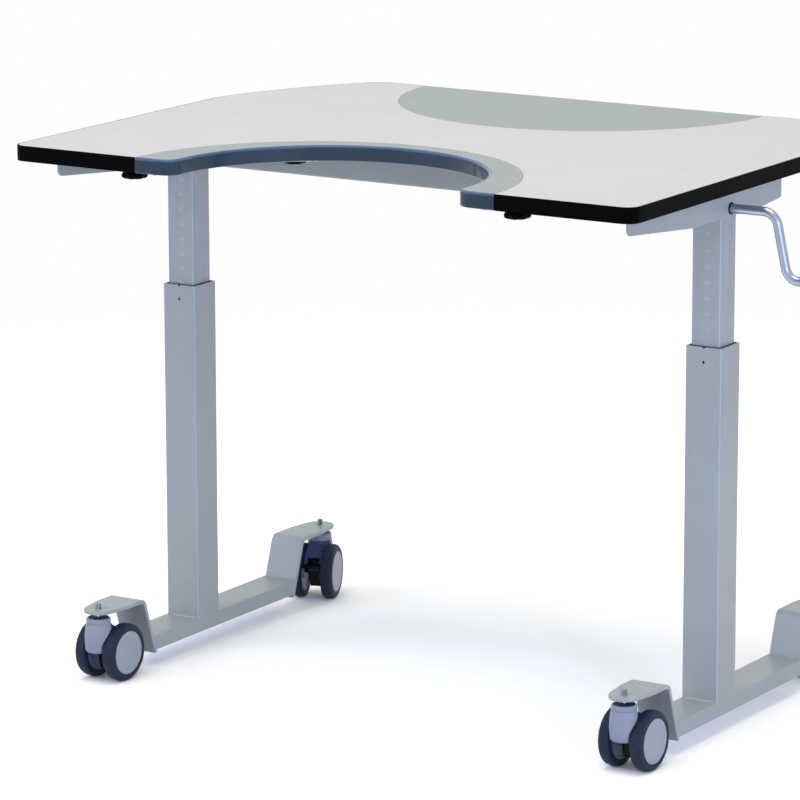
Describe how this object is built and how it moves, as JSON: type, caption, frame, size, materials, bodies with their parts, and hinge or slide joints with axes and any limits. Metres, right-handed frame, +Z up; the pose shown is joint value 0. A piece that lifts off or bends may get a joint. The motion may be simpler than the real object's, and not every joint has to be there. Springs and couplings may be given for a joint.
{
  "type": "treatment table",
  "caption": "Height-adjustable treatment table with a body cut-out, two telescopic columns, a hand crank and braked twin-wheel casters.",
  "frame": {"origin": "bottom centre of the bounding box, on the floor under the table", "axes": "+X to the user's right, where the crank is; +Y from the user's cut-out towards the back edge; +Z up"},
  "size_m": [1.063, 0.7, 0.72],
  "materials": {
    "laminate": "light grey melamine",
    "edging": "black edging",
    "insert": "slate moulded insert",
    "insert_top": "grey-green top skin",
    "zinc": "zinc plated",
    "frame_paint": "silver-grey powder coat",
    "black_plastic": "black moulding",
    "steel": "turned steel",
    "chrome": "bright plated rod",
    "grip_plastic": "black grip sleeve",
    "caster_plastic": "grey moulding",
    "brake_plastic": "dark grey moulding",
    "tyre": "dark grey tyre",
    "hub": "grey hub"
  },
  "bodies": {
    "top": {"board": "laminate", "edge_band": "edging", "front_insert": "insert", "front_insert_skin": "insert_top", "rear_insert": "insert", "rear_insert_skin": "insert_top", "insert_lugs": "zinc", "top_screws": "zinc", "left_arm": "frame_paint", "right_arm": "frame_paint", "cross_beam": "frame_paint", "left_inner_tube": "frame_paint", "right_inner_tube": "frame_paint", "bearing_blocks": "black_plastic"},
    "left_leg": {"left_outer_tube": "frame_paint", "left_column_guide": "black_plastic", "left_nut_tube": "steel", "left_foot": "frame_paint", "left_foot_brackets": "frame_paint", "left_caster_stems": "zinc"},
    "right_leg": {"right_outer_tube": "frame_paint", "right_column_guide": "black_plastic", "right_nut_tube": "steel", "right_foot": "frame_paint", "right_foot_brackets": "frame_paint", "right_caster_stems": "zinc"},
    "left_spindle": {"left_spindle": "steel"},
    "right_spindle": {"right_spindle": "steel"},
    "crank": {"cross_shaft": "steel", "crank_rod": "chrome"},
    "crank_grip": {"crank_grip": "grip_plastic"},
    "right_front_knob": {"right_front_knob": "black_plastic"},
    "right_back_knob": {"right_back_knob": "black_plastic"},
    "left_back_knob": {"left_back_knob": "black_plastic"},
    "left_front_knob": {"left_front_knob": "black_plastic"},
    "front_left_caster": {"front_left_caster_housing": "caster_plastic"},
    "front_left_pedal": {"front_left_brake_pedal": "brake_plastic"},
    "front_left_outer_wheel": {"front_left_outer_tyre": "tyre", "front_left_outer_hub": "hub"},
    "front_left_inner_wheel": {"front_left_inner_tyre": "tyre", "front_left_inner_hub": "hub"},
    "front_right_caster": {"front_right_caster_housing": "caster_plastic"},
    "front_right_pedal": {"front_right_brake_pedal": "brake_plastic"},
    "front_right_outer_wheel": {"front_right_outer_tyre": "tyre", "front_right_outer_hub": "hub"},
    "front_right_inner_wheel": {"front_right_inner_tyre": "tyre", "front_right_inner_hub": "hub"},
    "back_left_caster": {"back_left_caster_housing": "caster_plastic"},
    "back_left_pedal": {"back_left_brake_pedal": "brake_plastic"},
    "back_left_outer_wheel": {"back_left_outer_tyre": "tyre", "back_left_outer_hub": "hub"},
    "back_left_inner_wheel": {"back_left_inner_tyre": "tyre", "back_left_inner_hub": "hub"},
    "back_right_caster": {"back_right_caster_housing": "caster_plastic"},
    "back_right_pedal": {"back_right_brake_pedal": "brake_plastic"},
    "back_right_outer_wheel": {"back_right_outer_tyre": "tyre", "back_right_outer_hub": "hub"},
    "back_right_inner_wheel": {"back_right_inner_tyre": "tyre", "back_right_inner_hub": "hub"}
  },
  "joints": [
    {"name": "left_leg_lift", "type": "slide", "parent": "top", "child": "left_leg", "axis": [0, 0, -1], "range_m": [-0.14, 0.16]},
    {"name": "right_leg_lift", "type": "slide", "parent": "top", "child": "right_leg", "axis": [0, 0, -1], "range_m": [-0.14, 0.16]},
    {"name": "crank_turn", "type": "hinge", "parent": "top", "child": "crank", "pos_m": [0.33095, -0.038, 0.67], "axis": [1, 0, 0], "range_deg": [-5760, 5040]},
    {"name": "left_spindle_turn", "type": "hinge", "parent": "top", "child": "left_spindle", "pos_m": [-0.47405, -0.038, 0.6], "axis": [0, 0, 1], "range_deg": [-5040, 5760]},
    {"name": "right_spindle_turn", "type": "hinge", "parent": "top", "child": "right_spindle", "pos_m": [0.31095, -0.038, 0.6], "axis": [0, 0, 1], "range_deg": [-5040, 5760]},
    {"name": "grip_spin", "type": "hinge", "parent": "crank", "child": "crank_grip", "pos_m": [0.48345, -0.038, 0.587], "axis": [1, 0, 0], "continuous": true},
    {"name": "right_front_knob_turn", "type": "hinge", "parent": "top", "child": "right_front_knob", "pos_m": [0.19639, -0.32568, 0.692], "axis": [0, 0, 1], "range_deg": [0, 720]},
    {"name": "right_back_knob_turn", "type": "hinge", "parent": "top", "child": "right_back_knob", "pos_m": [0.08636, -0.12718, 0.692], "axis": [0, 0, 1], "range_deg": [0, 720]},
    {"name": "left_back_knob_turn", "type": "hinge", "parent": "top", "child": "left_back_knob", "pos_m": [-0.24946, -0.12718, 0.692], "axis": [0, 0, 1], "range_deg": [0, 720]},
    {"name": "left_front_knob_turn", "type": "hinge", "parent": "top", "child": "left_front_knob", "pos_m": [-0.35949, -0.32568, 0.692], "axis": [0, 0, 1], "range_deg": [0, 720]},
    {"name": "front_left_swivel", "type": "hinge", "parent": "left_leg", "child": "front_left_caster", "pos_m": [-0.47405, -0.258, 0.08], "axis": [0, 0, 1], "continuous": true},
    {"name": "front_left_brake", "type": "hinge", "parent": "front_left_caster", "child": "front_left_pedal", "pos_m": [-0.47311, -0.22201, 0.052], "axis": [-0.9997, 0.0262, 0], "range_deg": [0, 15]},
    {"name": "front_left_outer_roll", "type": "hinge", "parent": "front_left_caster", "child": "front_left_outer_wheel", "pos_m": [-0.47342, -0.23401, 0.038], "axis": [0.9997, -0.0262, 0], "continuous": true},
    {"name": "front_left_inner_roll", "type": "hinge", "parent": "front_left_caster", "child": "front_left_inner_wheel", "pos_m": [-0.47342, -0.23401, 0.038], "axis": [0.9997, -0.0262, 0], "continuous": true},
    {"name": "front_right_swivel", "type": "hinge", "parent": "right_leg", "child": "front_right_caster", "pos_m": [0.31095, -0.258, 0.08], "axis": [0, 0, 1], "continuous": true},
    {"name": "front_right_brake", "type": "hinge", "parent": "front_right_caster", "child": "front_right_pedal", "pos_m": [0.31158, -0.22201, 0.052], "axis": [-0.9998, 0.0175, 0], "range_deg": [0, 15]},
    {"name": "front_right_outer_roll", "type": "hinge", "parent": "front_right_caster", "child": "front_right_outer_wheel", "pos_m": [0.31137, -0.234, 0.038], "axis": [0.9998, -0.0175, 0], "continuous": true},
    {"name": "front_right_inner_roll", "type": "hinge", "parent": "front_right_caster", "child": "front_right_inner_wheel", "pos_m": [0.31137, -0.234, 0.038], "axis": [0.9998, -0.0175, 0], "continuous": true},
    {"name": "back_left_swivel", "type": "hinge", "parent": "left_leg", "child": "back_left_caster", "pos_m": [-0.47405, 0.279, 0.08], "axis": [0, 0, 1], "continuous": true},
    {"name": "back_left_brake", "type": "hinge", "parent": "back_left_caster", "child": "back_left_pedal", "pos_m": [-0.46233, 0.24496, 0.052], "axis": [0.9455, 0.3256, 0], "range_deg": [0, 15]},
    {"name": "back_left_outer_roll", "type": "hinge", "parent": "back_left_caster", "child": "back_left_outer_wheel", "pos_m": [-0.46624, 0.25631, 0.038], "axis": [-0.9455, -0.3256, 0], "continuous": true},
    {"name": "back_left_inner_roll", "type": "hinge", "parent": "back_left_caster", "child": "back_left_inner_wheel", "pos_m": [-0.46624, 0.25631, 0.038], "axis": [-0.9455, -0.3256, 0], "continuous": true},
    {"name": "back_right_swivel", "type": "hinge", "parent": "right_leg", "child": "back_right_caster", "pos_m": [0.31095, 0.279, 0.08], "axis": [0, 0, 1], "continuous": true},
    {"name": "back_right_brake", "type": "hinge", "parent": "back_right_caster", "child": "back_right_pedal", "pos_m": [0.30532, 0.24344, 0.052], "axis": [0.9877, -0.1564, 0], "range_deg": [0, 15]},
    {"name": "back_right_outer_roll", "type": "hinge", "parent": "back_right_caster", "child": "back_right_outer_wheel", "pos_m": [0.3072, 0.25529, 0.038], "axis": [-0.9877, 0.1564, 0], "continuous": true},
    {"name": "back_right_inner_roll", "type": "hinge", "parent": "back_right_caster", "child": "back_right_inner_wheel", "pos_m": [0.3072, 0.25529, 0.038], "axis": [-0.9877, 0.1564, 0], "continuous": true}
  ],
  "couplings": [
    {"joint": "right_leg_lift", "follows": "left_leg_lift", "ratio": 1},
    {"joint": "crank_turn", "follows": "left_leg_lift", "rad_per_m": -628.32},
    {"joint": "left_spindle_turn", "follows": "left_leg_lift", "rad_per_m": 628.32},
    {"joint": "right_spindle_turn", "follows": "left_leg_lift", "rad_per_m": 628.32}
  ]
}
